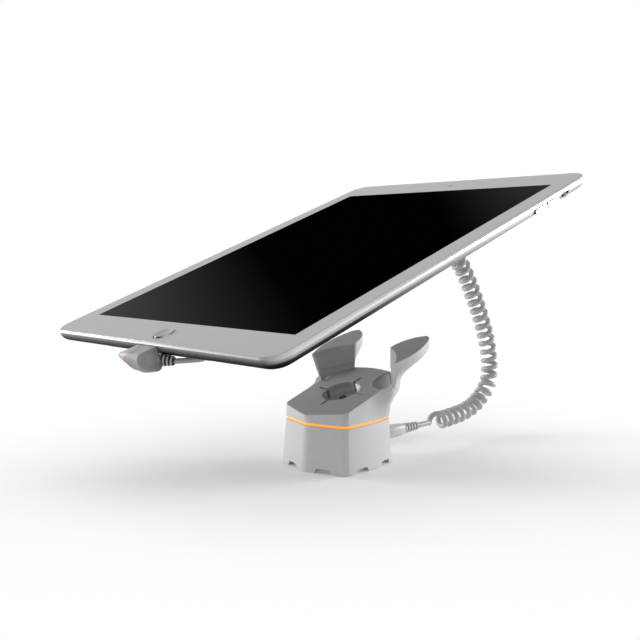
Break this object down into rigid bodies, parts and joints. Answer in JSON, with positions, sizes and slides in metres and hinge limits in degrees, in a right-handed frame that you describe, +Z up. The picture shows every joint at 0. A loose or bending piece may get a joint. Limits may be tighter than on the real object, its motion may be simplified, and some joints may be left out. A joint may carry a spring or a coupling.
{
  "type": "tablet security display stand",
  "caption": "Wedge-fronted counter stand with forked arms and a dock cup, a tablet on a puck, a curly tether cord and a charging lead.",
  "frame": {"origin": "on the counter, below the centre of the dock cup", "axes": "+Z up, +Y to the rear where the cord leaves, +X to the right seen from the front"},
  "size_m": [0.1701, 0.268, 0.1552],
  "materials": {
    "housing": "fine matte moulding, light grey",
    "grip_pad": "smooth matte dark grey",
    "light_band": "translucent orange, lit from inside",
    "steel": "zinc plated",
    "foam_tape": "closed-cell adhesive foam",
    "dark_plastic": "dark grey",
    "contact_block": "mid grey",
    "key_plastic": "pale grey",
    "gold": "gold plated",
    "board": "solder mask",
    "cell": "shrink film",
    "led": "clear",
    "cord": "satin mid grey jacket",
    "plug": "satin mid grey",
    "stripe": "orange",
    "nose": "white",
    "tablet_metal": "fine bead blasted, polished edge",
    "bezel_glass": "glass over a light grey border",
    "screen": "black glass",
    "lens": "polished black",
    "magnet": "nickel plated"
  },
  "bodies": {
    "base": {"lower_housing": "housing", "adhesive_foam": "foam_tape", "base_plate": "steel", "plate_screws": "steel", "housing_screws": "steel", "light_band": "light_band", "led_strip": "led", "upper_housing": "housing", "top_panel": "grip_pad", "arm_pad_left": "grip_pad", "arm_pad_right": "grip_pad", "dock_cup": "dark_plastic", "contact_block": "contact_block", "contact_pins": "gold", "guide_key": "key_plastic", "dock_magnet": "magnet", "plunger_spring": "steel", "sense_switch": "dark_plastic", "main_board": "board", "backup_battery": "cell", "alarm_buzzer": "dark_plastic", "cord_jack": "dark_plastic", "cord_plug": "plug", "cord_boot": "plug", "curly_cord": "cord"},
    "tablet": {"puck_boot": "plug", "puck_cap": "housing", "puck_flange": "housing", "puck_foam": "foam_tape", "puck_board": "board", "puck_keeper": "magnet", "charge_lead": "cord", "tablet_shell": "tablet_metal", "front_glass": "bezel_glass", "display_panel": "screen", "front_camera": "lens", "rear_camera": "lens", "speaker_grilles": "dark_plastic", "speaker_boxes": "dark_plastic", "charge_port": "steel", "tablet_battery": "cell", "logic_board": "board"},
    "connector": {"lead_boot": "plug", "connector_body": "housing", "connector_stripe": "stripe", "connector_nose": "nose", "connector_tongue": "steel"},
    "plunger": {"sense_plunger": "key_plastic"},
    "home_key": {"home_button": "bezel_glass"},
    "volume_up_key": {"volume_up": "tablet_metal"},
    "volume_down_key": {"volume_down": "tablet_metal"},
    "mute_slider": {"mute_switch": "tablet_metal"},
    "power_key": {"power_button": "tablet_metal"}
  },
  "joints": [
    {"name": "tablet_lift", "type": "slide", "parent": "base", "child": "tablet", "axis": [0, -0.342, 0.9397], "range_m": [-0.0536, 0], "deforming": ["curly_cord"]},
    {"name": "connector_unplug", "type": "slide", "parent": "tablet", "child": "connector", "axis": [0, -0.9397, -0.342], "range_m": [0, 0.0075], "deforming": ["charge_lead"]},
    {"name": "plunger_press", "type": "slide", "parent": "base", "child": "plunger", "axis": [0, 0.342, -0.9397], "range_m": [0, 0.0012], "stiffness_N_per_m": 300, "springref_m": -0.0002, "deforming": ["plunger_spring"]},
    {"name": "home_press", "type": "slide", "parent": "tablet", "child": "home_key", "axis": [0, 0.342, -0.9397], "range_m": [0, 0.0004], "stiffness_N_per_m": 800, "springref_m": -0.0002},
    {"name": "volume_up_press", "type": "slide", "parent": "tablet", "child": "volume_up_key", "axis": [-1, 0, 0], "range_m": [0, 0.0004], "stiffness_N_per_m": 800, "springref_m": -0.0002},
    {"name": "volume_down_press", "type": "slide", "parent": "tablet", "child": "volume_down_key", "axis": [-1, 0, 0], "range_m": [0, 0.0004], "stiffness_N_per_m": 800, "springref_m": -0.0002},
    {"name": "power_press", "type": "slide", "parent": "tablet", "child": "power_key", "axis": [0, -0.9397, -0.342], "range_m": [0, 0.0004], "stiffness_N_per_m": 800, "springref_m": -0.0002},
    {"name": "mute_slide", "type": "slide", "parent": "tablet", "child": "mute_slider", "axis": [0, 0.9397, 0.342], "range_m": [0, 0.003]}
  ]
}
